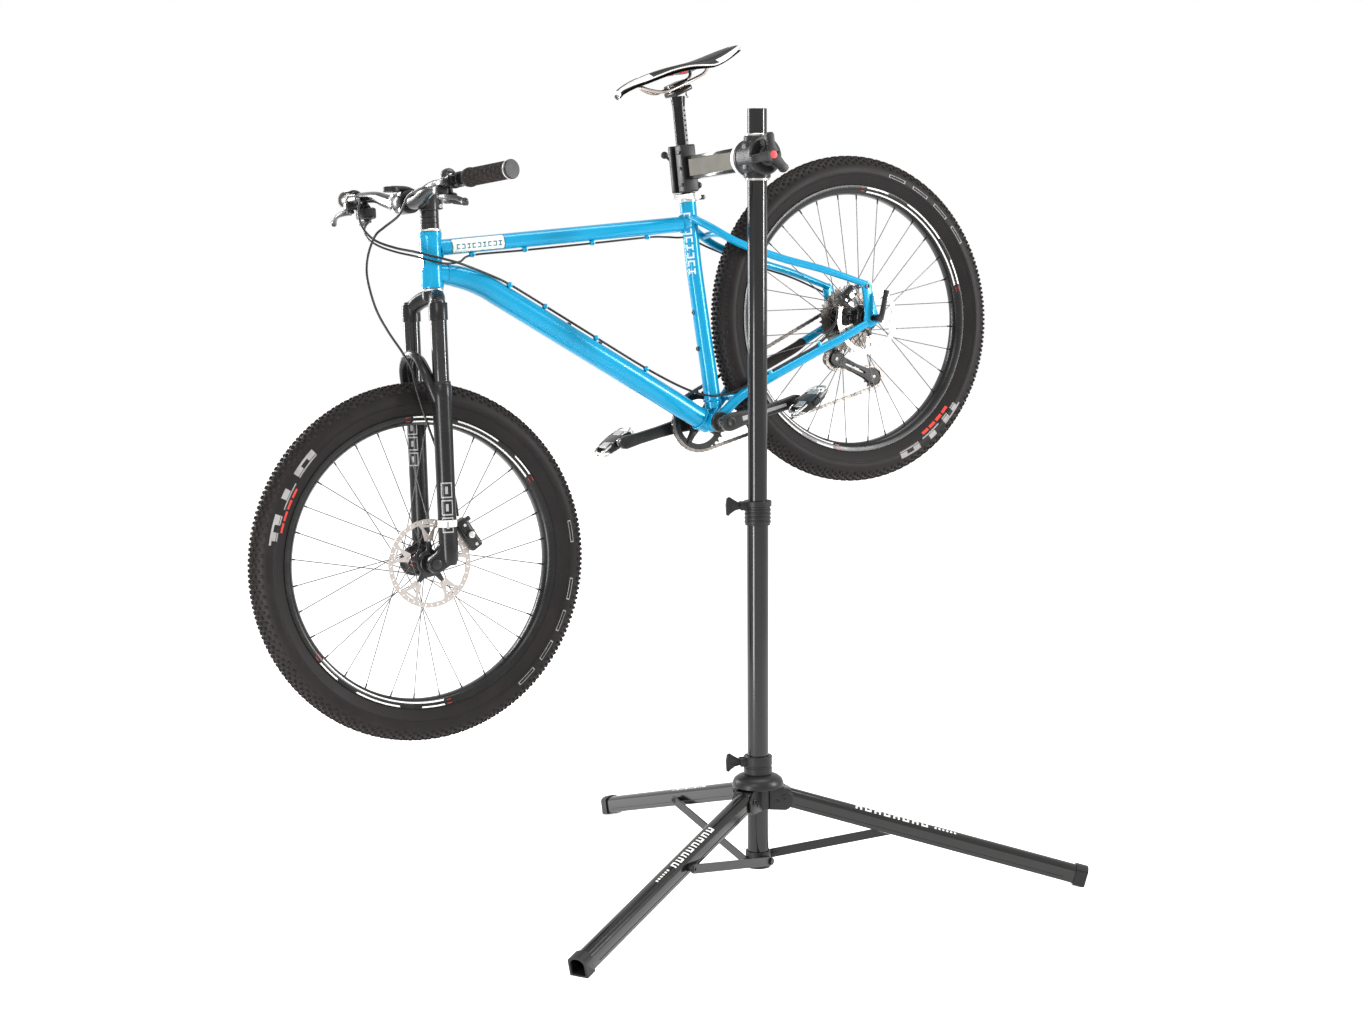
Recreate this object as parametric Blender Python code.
"""A mountain bicycle clamped by its seatpost in a folding tripod repair stand.

The stand's post is the Z axis and the floor is z = 0. The bicycle points along -X and hangs on the
post's +Y side. Its pieces are modelled about the bottom bracket with both wheels level, and the
"bicycle" empty pitches them nose down. Front end pieces are modelled about the steering axis.
"""

from math import atan2, cos, hypot, pi, radians, sin, sqrt

import bmesh
import bpy
from mathutils import Matrix, Vector

# ---- clearances ----
GAP = 0.0003          # between pieces that touch
RUNNING = 0.0006      # round a turning pin

# ---- stand: post ----
POST_RADIUS = 0.0225
INNER_RADIUS = 0.0200
INNER_WALL = 0.0020
POST_FOOT = 0.0525
POST_MOUTH = 0.8000
INNER_FOOT = 0.4400
INNER_TOP = 1.6210
HEIGHT_CLAMP_LOW = 0.7695
HEIGHT_CLAMP_HIGH = 0.8205
HEIGHT_CLAMP_WALL = 0.0047
HEIGHT_CLAMP_RADIUS = POST_RADIUS + HEIGHT_CLAMP_WALL

# ---- stand: legs ----
LEG_COUNT = 3
FIRST_LEG = 208.8
LEG_PIVOT_HEIGHT = 0.1950
LEG_WIDTH = 0.0350
LEG_HEIGHT = 0.0380
LEG_WALL = 0.0020
LEG_LENGTH = 0.6520
LEG_SLOPE = 15.45
CAP_WALL = 0.0030
CAP_LENGTH = 0.0250
COLLAR_LOW = 0.1720
COLLAR_TOP = 0.2410
COLLAR_RING_TOP = 0.2815
COLLAR_WALL = 0.0090
COLLAR_RADIUS = POST_RADIUS + COLLAR_WALL
LEG_PIVOT_RADIUS = COLLAR_RADIUS + 0.0245
PIN_RADIUS = 0.0040
STRUT_OFFSET = POST_RADIUS + 0.0047
STRUT_THICKNESS = 0.0040
STRUT_HEIGHT = 0.0190
STRUT_BASE_HEIGHT = 0.0560
STRUT_REACH = 0.3150
STRUT_TIP_HEIGHT = 0.1180
KNOB_AZIMUTH = 160.0
KNOB_LENGTH = 0.0340

# ---- stand: head and clamp ----
HEAD_HEIGHT = 1.5237
ARM_TILT = 3.38
BIKE_OFFSET = 0.2936
HEAD_RADIUS = 0.0385
HEAD_HALF_WIDTH = 0.0340
HEAD_SLEEVE = 0.0275
HEAD_SLEEVE_HALF = 0.0420
ARM_WIDTH = 0.0300
ARM_HEIGHT = 0.0500
ARM_CORNER = 0.0060
JAW_HALF_HEIGHT = 0.0500
JAW_FRONT = -0.0240
JAW_REAR = 0.0120
JAW_DEPTH = 0.0340
SCREW_X = 0.0250
SCREW_RADIUS = 0.0040
TOGGLE_HALF = 0.0520
TOGGLE_TURN = 42.0
TOGGLE_BALL = 0.0082
LOBE_REACH = 0.0450

# ---- bicycle: frame geometry, level, about the bottom bracket ----
BIKE_PITCH = 23.33
TYRE_RADIUS = 0.3625
TYRE_SECTION = 0.0345
RIM_OUTER = 0.2960
RIM_INNER = 0.2780
RIM_WIDTH = 0.0380
REAR_AXLE = (0.4323, 0.0452)
HEAD_ANGLE = 66.71
HEAD_LOW = (-0.4712, 0.5312)
HEAD_LENGTH = 0.1126
HEAD_TUBE_RADIUS = 0.0225
STEERER_RADIUS = 0.0160
SEAT_TOP = (0.1532, 0.4525)
SEATPOST_ANGLE = 70.73
SEATPOST_RADIUS = 0.0136
SEATPOST_RISE = 0.2300
SEATPOST_INSERT = 0.1000
CLAMP_ABOVE_SEAT_TUBE = 0.0685
SEAT_TUBE_RADIUS = 0.0175
TOP_TUBE_RADIUS = 0.0165
DOWN_TUBE_RADIUS = 0.0245
SHELL_RADIUS = 0.0215
SHELL_HALF = 0.0365
CHAINSTAY_RADIUS = 0.0095
STAY_CLEARANCE = 0.0155
SEATSTAY_RADIUS = 0.0085
REAR_HUB_HALF = 0.0740
DROPOUT_THICKNESS = 0.0060
AXLE_RADIUS = 0.0060
RAIL_RADIUS = 0.0035
RAIL_HEIGHT = 0.6834
SADDLE_DEPTH = 0.0120

# ---- bicycle: front end, about the head tube's lower end, Z along the steering axis ----
FORK_OFFSET = 0.0525
FORK_LENGTH = 0.5517
LEG_SPACING = 0.0670
LEG_SETBACK = 0.0200
STANCHION_RADIUS = 0.0165
LOWER_RADIUS = 0.0200
LOWER_TOP = -0.1930
LOWER_END = -0.5450
CROWN_TOP = -0.0310
CROWN_LOW = -0.0650
FRONT_HUB_HALF = 0.0550
STEM_LOW = 0.1560
STEM_HIGH = 0.1920
BAR_RADIUS = 0.0111
BAR_CLAMP_RADIUS = 0.0159
BAR_CENTRE = (-0.0500, 0.1720)
BAR_HALF = 0.4070
GRIP_LENGTH = 0.1280
GRIP_RADIUS = 0.0165
CONTROL_Y = 0.2550

# ---- bicycle: wheels and drive ----
WHEEL_SIDES = 40
SPOKES = 32
SPOKE_RADIUS = 0.0010
FLANGE_RADIUS = 0.0270
FRONT_ROTOR_RADIUS = 0.0900
REAR_ROTOR_RADIUS = 0.0800
ROTOR_BAND = 0.0150
ROTOR_THICKNESS = 0.0018
ROTOR_ARMS = 5
FRONT_ROTOR_Y = -0.0450
REAR_ROTOR_Y = -0.0590
CHAIN_Y = 0.0495
CHAIN_RADIUS = 0.0030
LINK_PITCH = 0.0127
RING_TEETH = 32
SPROCKET_TEETH = 16
JOCKEY_TEETH = 12
CRANK_LENGTH = 0.1750
LEFT_CRANK_ANGLE = -10.79
CRANK_INNER = 0.0700
CRANK_OUTER = 0.0860
SPINDLE_RADIUS = 0.0120
PEDAL_REACH = 0.0980
GUIDE_PULLEY = (0.3830, -0.0300)
TENSION_PULLEY = (0.4590, -0.1110)
HANGER = (0.4400, 0.0120)
HOSE_RADIUS = 0.0025
HOSE_STEP = 0.0240


# ---- scene, materials and objects ----

def clear_scene():
    for existing in list(bpy.data.objects):
        bpy.data.objects.remove(existing)


FINISHES = {
    "black_paint": ((0.020, 0.019, 0.019), 0.28, 0.0),
    "black_plastic": ((0.030, 0.029, 0.029), 0.50, 0.0),
    "black_metal": ((0.045, 0.043, 0.042), 0.32, 0.7),
    "blue_paint": ((0.010, 0.330, 0.640), 0.22, 0.3),
    "silver": ((0.620, 0.600, 0.580), 0.30, 1.0),
    "rubber": ((0.028, 0.024, 0.022), 0.80, 0.0),
    "grip_rubber": ((0.060, 0.045, 0.042), 0.75, 0.0),
    "saddle_cover": ((0.030, 0.028, 0.028), 0.45, 0.0),
    "titanium": ((0.450, 0.400, 0.360), 0.35, 1.0),
    "hose": ((0.025, 0.025, 0.027), 0.45, 0.0),
}


def make_materials():
    made = {}
    for name, (colour, roughness, metallic) in FINISHES.items():
        material = bpy.data.materials.new(name)
        material.use_nodes = True
        shader = material.node_tree.nodes["Principled BSDF"]
        shader.inputs["Base Color"].default_value = (*colour, 1.0)
        shader.inputs["Roughness"].default_value = roughness
        shader.inputs["Metallic"].default_value = metallic
        made[name] = material
    return made


def empty(name, parent=None, location=(0, 0, 0), rotation=(0, 0, 0)):
    frame = bpy.data.objects.new(name, None)
    bpy.context.collection.objects.link(frame)
    frame.parent = parent
    frame.location = location
    frame.rotation_euler = rotation
    return frame


def add(name, mesh, finish, parent=None, origin=(0, 0, 0), turn=0.0):
    """Shows a mesh as a named piece with its origin at a point, then turns the whole about Z."""
    mesh.transform(Matrix.Translation(-Vector(origin)))
    mesh.name = name
    mesh.materials.clear()
    mesh.materials.append(MATERIALS[finish])
    mesh.shade_smooth()
    mesh.set_sharp_from_angle(angle=radians(35))
    piece = bpy.data.objects.new(name, mesh)
    bpy.context.collection.objects.link(piece)
    piece.parent = parent
    piece.matrix_local = Matrix.Rotation(turn, 4, "Z") @ Matrix.Translation(origin)
    return piece


# ---- shapes ----

def to_mesh(shape):
    bmesh.ops.recalc_face_normals(shape, faces=shape.faces)
    mesh = bpy.data.meshes.new("shape")
    shape.to_mesh(mesh)
    shape.free()
    return mesh


def rod(start, end, radius, end_radius=None, sides=16):
    """A round bar or a cone between two points."""
    start, end = Vector(start), Vector(end)
    shape = bmesh.new()
    along = end - start
    place = Matrix.Translation((start + end) / 2) @ along.to_track_quat("Z", "Y").to_matrix().to_4x4()
    bmesh.ops.create_cone(
        shape,
        cap_ends=True,
        segments=sides,
        radius1=radius,
        radius2=radius if end_radius is None else end_radius,
        depth=along.length,
        matrix=place,
    )
    return to_mesh(shape)


def ball(centre, radius, sides=12):
    shape = bmesh.new()
    bmesh.ops.create_uvsphere(shape, u_segments=sides, v_segments=sides // 2 + 1, radius=radius)
    bmesh.ops.translate(shape, verts=shape.verts, vec=centre)
    return to_mesh(shape)


def box(low, high, bevel=0.0, segments=2):
    low, high = Vector(low), Vector(high)
    shape = bmesh.new()
    bmesh.ops.create_cube(shape, size=1.0)
    bmesh.ops.scale(shape, verts=shape.verts, vec=high - low)
    bmesh.ops.translate(shape, verts=shape.verts, vec=(low + high) / 2)
    if bevel:
        bmesh.ops.bevel(shape, geom=shape.edges, offset=bevel, affect="EDGES", segments=segments, profile=0.5)
    return to_mesh(shape)


def prism(outline, low, high, axis="Y"):
    """A flat outline drawn in the plane across an axis, given thickness from low to high along it."""
    shape = bmesh.new()
    lift = {
        "X": lambda u, v, w: (w, u, v),
        "Y": lambda u, v, w: (u, w, v),
        "Z": lambda u, v, w: (u, v, w),
    }[axis]
    face = shape.faces.new([shape.verts.new(lift(u, v, low)) for u, v in outline])
    raised = bmesh.ops.extrude_face_region(shape, geom=[face])["geom"]
    corners = [item for item in raised if isinstance(item, bmesh.types.BMVert)]
    bmesh.ops.translate(shape, verts=corners, vec=lift(0, 0, high - low))
    return to_mesh(shape)


def turned(profile, centre=(0, 0, 0), axis="Y", sides=32):
    """A closed profile of (radius, height) points spun round an axis; a side on the axis is left out."""
    shape = bmesh.new()
    corners = [shape.verts.new((radius, 0, height)) for radius, height in profile]
    sides_of_profile = [(corners[i - 1], corners[i]) for i in range(len(corners))]
    edges = [shape.edges.new(ends) for ends in sides_of_profile if ends[0].co.x or ends[1].co.x]
    bmesh.ops.spin(
        shape,
        geom=corners + edges,
        cent=(0, 0, 0),
        axis=(0, 0, 1),
        angle=2 * pi,
        steps=sides,
        use_merge=True,
    )
    bmesh.ops.remove_doubles(shape, verts=shape.verts, dist=1e-6)
    if axis == "Y":
        bmesh.ops.rotate(shape, verts=shape.verts, cent=(0, 0, 0), matrix=Matrix.Rotation(-pi / 2, 3, "X"))
    bmesh.ops.translate(shape, verts=shape.verts, vec=centre)
    return to_mesh(shape)


def smooth_route(points, spacing):
    """Points a set distance apart on the smooth curve through the given ones."""
    points = [Vector(point) for point in points]
    padded = [2 * points[0] - points[1], *points, 2 * points[-1] - points[-2]]
    route = [points[0]]
    for before, start, end, after in zip(padded, padded[1:], padded[2:], padded[3:]):
        steps = max(1, round((end - start).length / spacing))
        for step in range(1, steps + 1):
            t = step / steps
            bend = 2 * before - 5 * start + 4 * end - after
            curl = 3 * start - before - 3 * end + after
            route.append(start + 0.5 * t * (end - before + t * bend + t * t * curl))
    return route


def pipe(points, radii, resolution=3, spacing=0.0, closed=False):
    """A round tube along a route; radii is one radius or one for each given point."""
    radii = radii if isinstance(radii, list) else [radii] * len(points)
    if spacing:
        marks = distances(points)
        points = smooth_route(points, spacing)
        shares = distances(points)
        radii = [radius_at(marks, radii, share / shares[-1] * marks[-1]) for share in shares]
    curve = route_curve("route", points, radii, resolution)
    curve.use_fill_caps = not closed
    curve.splines[0].use_cyclic_u = closed
    route_object = bpy.data.objects.new("route", curve)
    bpy.context.collection.objects.link(route_object)
    mesh = evaluated(route_object)
    bpy.data.objects.remove(route_object)
    shape = bmesh.new()
    shape.from_mesh(mesh)
    bmesh.ops.remove_doubles(shape, verts=shape.verts, dist=1e-6)
    return to_mesh(shape)


def distances(points):
    """How far along a route each of its points lies."""
    found = [0.0]
    for start, end in zip(points, points[1:]):
        found.append(found[-1] + (Vector(end) - Vector(start)).length)
    return found


def radius_at(marks, radii, distance):
    for low, high, start, end in zip(marks, marks[1:], radii, radii[1:]):
        if distance <= high:
            return start + (end - start) * (distance - low) / (high - low)
    return radii[-1]


def route_curve(name, points, radii, resolution):
    curve = bpy.data.curves.new(name, "CURVE")
    curve.dimensions = "3D"
    curve.bevel_depth = 1.0
    curve.bevel_resolution = resolution
    curve.use_fill_caps = True
    spline = curve.splines.new("POLY")
    spline.points.add(len(points) - 1)
    for target, point, radius in zip(spline.points, points, radii):
        target.co = (*point, 1.0)
        target.radius = radius
    return curve


def evaluated(target):
    graph = bpy.context.evaluated_depsgraph_get()
    return bpy.data.meshes.new_from_object(target.evaluated_get(graph), depsgraph=graph)


def boolean(mesh, others, operation):
    base = bpy.data.objects.new("base", mesh)
    bpy.context.collection.objects.link(base)
    tools = []
    for other in others:
        tool = bpy.data.objects.new("tool", other)
        bpy.context.collection.objects.link(tool)
        tools.append(tool)
        modifier = base.modifiers.new("boolean", "BOOLEAN")
        modifier.operation = operation
        modifier.solver = "EXACT"
        modifier.object = tool
    result = evaluated(base)
    for item in [base, *tools]:
        bpy.data.objects.remove(item)
    return result


def fuse(mesh, *others):
    return boolean(mesh, others, "UNION")


def cut(mesh, *others):
    return boolean(mesh, others, "DIFFERENCE")


def moved(mesh, matrix):
    mesh.transform(matrix)
    return mesh


def copied(mesh, matrix=None):
    other = mesh.copy()
    if matrix is not None:
        other.transform(matrix)
    return other


def mirrored(mesh):
    """The same shape on the other side of the bicycle."""
    shape = bmesh.new()
    shape.from_mesh(mesh)
    bmesh.ops.scale(shape, verts=shape.verts, vec=(1, -1, 1))
    return to_mesh(shape)


# ---- stand ----

def ring(inner, outer, low, high, sides=28):
    return turned([(inner, low), (outer, low), (outer, high), (inner, high)], axis="Z", sides=sides)


def wing_knob(name, height, ring_radius, parent):
    """A clamping screw with a flat wing, turning about a level radial axis."""
    azimuth = radians(KNOB_AZIMUTH)
    start = ring_radius + 0.0125
    screw = rod((ring_radius + 0.0004, 0, height), (start, 0, height), 0.0040, sides=12)
    outline = [
        (start - 0.001, -0.007),
        (start + KNOB_LENGTH * 0.6, -0.012),
        (start + KNOB_LENGTH, -0.017),
        (start + KNOB_LENGTH, 0.008),
        (start + KNOB_LENGTH * 0.8, 0.017),
        (start + KNOB_LENGTH * 0.3, 0.013),
        (start - 0.001, 0.007),
    ]
    wing = moved(prism(outline, -0.005, 0.005), Matrix.Translation((0, 0, height)))
    return add(name, fuse(screw, wing), "black_plastic", parent, (start, 0, height), azimuth)


def screw_boss(ring_radius, height):
    """The ear on a clamp ring that the wing knob's screw bears on."""
    azimuth = radians(KNOB_AZIMUTH)
    boss = box((ring_radius - 0.006, -0.009, height - 0.009), (ring_radius + 0.0001, 0.009, height + 0.009))
    return moved(boss, Matrix.Rotation(azimuth, 4, "Z"))


def post():
    bore = INNER_RADIUS + GAP
    add("lower_post", ring(bore, POST_RADIUS, POST_FOOT, POST_MOUTH), "black_paint")
    inner = ring(INNER_RADIUS - INNER_WALL, INNER_RADIUS, INNER_FOOT, INNER_TOP)
    add("upper_post", inner, "black_paint", origin=(0, 0, INNER_FOOT))
    outer = POST_RADIUS + GAP
    shoulder = POST_MOUTH + GAP
    profile = [
        (outer, HEIGHT_CLAMP_LOW),
        (HEIGHT_CLAMP_RADIUS, HEIGHT_CLAMP_LOW),
        (HEIGHT_CLAMP_RADIUS, HEIGHT_CLAMP_HIGH),
        (bore, HEIGHT_CLAMP_HIGH),
        (bore, shoulder),
        (outer, shoulder),
    ]
    knob_height = HEIGHT_CLAMP_HIGH - 0.0105
    clamp = fuse(turned(profile, axis="Z", sides=28), screw_boss(HEIGHT_CLAMP_RADIUS + 0.003, knob_height))
    clear = rod((0, 0, shoulder), (0, 0, HEIGHT_CLAMP_HIGH + 0.01), bore, sides=28)
    add("height_clamp", cut(clamp, clear), "black_plastic")
    wing_knob("height_clamp_knob", knob_height, HEIGHT_CLAMP_RADIUS + 0.003, None)


def leg_collar():
    """The hub that the legs hinge on, with its clamp ring, sliding on the post."""
    bore = POST_RADIUS + GAP
    hub = ring(bore, COLLAR_RADIUS, COLLAR_LOW, COLLAR_TOP)
    neck = ring(bore, COLLAR_RADIUS - 0.003, COLLAR_TOP - 0.001, COLLAR_RING_TOP)
    slot_half = LEG_WIDTH / 2 + RUNNING
    end_reach = LEG_HEIGHT / 2 + RUNNING + 0.001
    lug_top = LEG_PIVOT_HEIGHT + end_reach + 0.004
    lug_outline = [
        (POST_RADIUS + 0.0015, COLLAR_LOW),
        (LEG_PIVOT_RADIUS + 0.012, COLLAR_LOW + 0.002),
        (LEG_PIVOT_RADIUS + 0.020, COLLAR_LOW + 0.012),
        (LEG_PIVOT_RADIUS + 0.021, lug_top - 0.010),
        (LEG_PIVOT_RADIUS + 0.012, lug_top - 0.001),
        (LEG_PIVOT_RADIUS, lug_top),
        (POST_RADIUS + 0.0015, lug_top + 0.008),
    ]
    slot_outline = [
        (LEG_PIVOT_RADIUS - end_reach, COLLAR_LOW - 0.01),
        (LEG_PIVOT_RADIUS + 0.06, COLLAR_LOW - 0.01),
        (LEG_PIVOT_RADIUS + 0.06, LEG_PIVOT_HEIGHT + end_reach - 0.012),
        (LEG_PIVOT_RADIUS + 0.004, LEG_PIVOT_HEIGHT + end_reach),
        (LEG_PIVOT_RADIUS - end_reach, LEG_PIVOT_HEIGHT + end_reach),
    ]
    lugs, slots, pins = [], [], []
    for index in range(LEG_COUNT):
        turn = Matrix.Rotation(leg_azimuth(index), 4, "Z")
        lugs.append(moved(prism(lug_outline, -slot_half - 0.005, slot_half + 0.005), turn))
        slots.append(moved(prism(slot_outline, -slot_half, slot_half), turn))
        start = (LEG_PIVOT_RADIUS, -slot_half - 0.004, LEG_PIVOT_HEIGHT)
        end = (LEG_PIVOT_RADIUS, slot_half + 0.004, LEG_PIVOT_HEIGHT)
        pins.append(moved(rod(start, end, PIN_RADIUS, sides=12), turn))
    knob_height = COLLAR_RING_TOP - 0.013
    body = fuse(hub, neck, *lugs, screw_boss(COLLAR_RADIUS, knob_height))
    bore_cut = rod((0, 0, COLLAR_LOW - 0.01), (0, 0, COLLAR_RING_TOP + 0.01), bore, sides=28)
    body = fuse(cut(body, bore_cut, *slots), *pins)
    add("leg_collar", body, "black_plastic")
    wing_knob("leg_collar_knob", knob_height, COLLAR_RADIUS, None)


def leg_azimuth(index):
    return radians(FIRST_LEG) + index * 2 * pi / LEG_COUNT


def leg_outline(grow=0.0):
    """The leg's section: flat sides and bottom with a round top, as (across, up) points."""
    half = LEG_WIDTH / 2 + grow
    low = -LEG_HEIGHT / 2 - grow
    high = LEG_HEIGHT / 2 + grow
    arch = [
        (half * cos(angle), high - 0.012 + 0.012 * sin(angle))
        for angle in (pi * step / 8 for step in range(9))
    ]
    corner = 0.003
    return [(-half, low + corner), (-half + corner, low), (half - corner, low), (half, low + corner), *arch]


def along_leg(distance, drop=0.0):
    """A point on a leg's centre line, in the leg's own radial plane."""
    slope = radians(LEG_SLOPE)
    return (
        LEG_PIVOT_RADIUS + distance * cos(slope) - drop * sin(slope),
        0.0,
        LEG_PIVOT_HEIGHT - distance * sin(slope) - drop * cos(slope),
    )


def leg_meshes():
    """One leg, foot cap and strut, each in the radial plane with X outward."""
    lay = Matrix.Translation(along_leg(0)) @ Matrix.Rotation(radians(LEG_SLOPE), 4, "Y")
    bar = moved(prism(leg_outline(), 0, LEG_LENGTH, "X"), lay)
    end = rod(
        (LEG_PIVOT_RADIUS, -LEG_WIDTH / 2, LEG_PIVOT_HEIGHT),
        (LEG_PIVOT_RADIUS, LEG_WIDTH / 2, LEG_PIVOT_HEIGHT),
        LEG_HEIGHT / 2,
        sides=24,
    )
    hollow = moved(prism(leg_outline(-LEG_WALL), 0.030, LEG_LENGTH + 0.01, "X"), lay)
    pin_hole = rod(
        (LEG_PIVOT_RADIUS, -LEG_WIDTH, LEG_PIVOT_HEIGHT),
        (LEG_PIVOT_RADIUS, LEG_WIDTH, LEG_PIVOT_HEIGHT),
        PIN_RADIUS + RUNNING,
        sides=12,
    )
    tip = Vector((STRUT_REACH, 0, STRUT_TIP_HEIGHT))
    boss_foot = tip + Vector((0, LEG_WIDTH / 2 - 0.003, 0))
    boss = rod(boss_foot, tip + Vector((0, STRUT_OFFSET - GAP, 0)), 0.006, sides=12)
    leg = cut(fuse(cut(fuse(bar, end), hollow), boss), pin_hole)
    sleeve = moved(
        prism(leg_outline(CAP_WALL), LEG_LENGTH - CAP_LENGTH + 0.006, LEG_LENGTH + 0.006, "X"), lay
    )
    seat = moved(prism(leg_outline(GAP), LEG_LENGTH - CAP_LENGTH, LEG_LENGTH + 0.0003, "X"), lay)
    mouth = moved(prism(leg_outline(-LEG_WALL), LEG_LENGTH - 0.02, LEG_LENGTH + 0.02, "X"), lay)
    ground = box((0.4, -0.1, -0.1), (0.9, 0.1, 0.0))
    cap = cut(sleeve, seat, mouth, ground)
    base = Vector((0, STRUT_OFFSET, STRUT_BASE_HEIGHT))
    lean = atan2(STRUT_TIP_HEIGHT - STRUT_BASE_HEIGHT, STRUT_REACH)
    length = hypot(STRUT_TIP_HEIGHT - STRUT_BASE_HEIGHT, STRUT_REACH)
    half = STRUT_HEIGHT / 2
    outline = [(half * sin(angle), -half * cos(angle)) for angle in (pi * step / 8 for step in range(9))]
    outline = [(length + u, v) for u, v in outline]
    outline += [(-half * sin(angle), half * cos(angle)) for angle in (pi * step / 8 for step in range(9))]
    strut = prism(outline, 0, STRUT_THICKNESS)
    strut = moved(strut, Matrix.Translation(base) @ Matrix.Rotation(-lean, 4, "Y"))
    stud_hole = rod(base - Vector((0, 0.01, 0)), base + Vector((0, 0.02, 0)), PIN_RADIUS + RUNNING, sides=12)
    return leg, cap, cut(strut, stud_hole)


def legs():
    leg, cap, strut = leg_meshes()
    pivot = (LEG_PIVOT_RADIUS, 0, LEG_PIVOT_HEIGHT)
    base = (0, STRUT_OFFSET, STRUT_BASE_HEIGHT)
    for index in range(LEG_COUNT):
        turn = leg_azimuth(index)
        add(f"leg_{index + 1}", copied(leg), "black_paint", None, pivot, turn)
        add(f"foot_cap_{index + 1}", copied(cap), "black_plastic", None, pivot, turn)
        add(f"strut_{index + 1}", copied(strut), "black_metal", None, base, turn)


def strut_base():
    """The cup under the post, with a stud beside it for each strut."""
    cup = rod((0, 0, POST_FOOT - 0.011), (0, 0, POST_FOOT + 0.024), STRUT_OFFSET - 0.0006, sides=28)
    seat = rod((0, 0, POST_FOOT - GAP), (0, 0, POST_FOOT + 0.05), POST_RADIUS + GAP, sides=28)
    body = cut(cup, seat)
    for index in range(LEG_COUNT):
        turn = Matrix.Rotation(leg_azimuth(index), 4, "Z")
        inner = STRUT_OFFSET - 0.0030
        outer = STRUT_OFFSET + STRUT_THICKNESS + GAP
        stud = rod((0, inner, STRUT_BASE_HEIGHT), (0, outer + 0.002, STRUT_BASE_HEIGHT), PIN_RADIUS, sides=12)
        head = rod((0, outer, STRUT_BASE_HEIGHT), (0, outer + 0.0035, STRUT_BASE_HEIGHT), 0.0075, sides=12)
        body = fuse(body, moved(stud, turn), moved(head, turn))
    add("strut_base", body, "black_plastic")


def head(arm):
    """The housing on the upper post, the arm that turns in it, and the knob that locks the two."""
    upright = Matrix.Rotation(radians(ARM_TILT), 4, "X")
    barrel = rod((0, -HEAD_HALF_WIDTH, 0), (0, HEAD_HALF_WIDTH, 0), HEAD_RADIUS, sides=32)
    sleeve = moved(rod((0, 0, -HEAD_SLEEVE_HALF), (0, 0, HEAD_SLEEVE_HALF), HEAD_SLEEVE, sides=28), upright)
    bore = moved(rod((0, 0, -0.08), (0, 0, 0.08), INNER_RADIUS + GAP, sides=28), upright)
    add("head_housing", cut(fuse(barrel, sleeve), bore), "black_plastic", arm)
    face = -HEAD_HALF_WIDTH - GAP
    hub = rod((0, face, 0), (0, face - 0.026, 0), 0.0165, sides=20)
    lobes = []
    for index in range(3):
        angle = radians(92 + 120 * index)
        direction = Vector((cos(angle), 0, sin(angle)))
        side = Vector((-sin(angle), 0, cos(angle)))
        corners = [
            side * 0.0125,
            direction * 0.030 + side * 0.0085,
            direction * (LOBE_REACH - 0.006) + side * 0.0085,
            direction * LOBE_REACH + side * 0.004,
            direction * LOBE_REACH - side * 0.004,
            direction * (LOBE_REACH - 0.006) - side * 0.0085,
            direction * 0.030 - side * 0.0085,
            side * -0.0125,
        ]
        lobes.append(prism([(c.x, c.z) for c in corners], face - 0.030, face - 0.012))
    add("head_knob", fuse(hub, *lobes), "black_plastic", arm)
    flange_foot = HEAD_HALF_WIDTH + GAP
    flange = rod((0, flange_foot, 0), (0, flange_foot + 0.0127, 0), HEAD_RADIUS - 0.002, sides=32)
    tube = box(
        (-ARM_WIDTH / 2, HEAD_HALF_WIDTH + 0.008, -ARM_HEIGHT / 2),
        (ARM_WIDTH / 2, BIKE_OFFSET - JAW_DEPTH - GAP, ARM_HEIGHT / 2),
    )
    tube = moved(round_long_edges(tube), jaw_turn())
    add("clamp_arm", fuse(flange, tube), "black_paint", arm)


def jaw_turn():
    """The clamp turns about the arm to line up with the seatpost."""
    lean = radians(90 - SEATPOST_ANGLE - BIKE_PITCH)
    return Matrix.Rotation(lean, 4, "Y")


def round_long_edges(mesh):
    shape = bmesh.new()
    shape.from_mesh(mesh)
    along = [edge for edge in shape.edges if abs((edge.verts[0].co - edge.verts[1].co).y) > 0.05]
    bmesh.ops.bevel(shape, geom=along, offset=ARM_CORNER, affect="EDGES", segments=3, profile=0.5)
    return to_mesh(shape)


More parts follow.
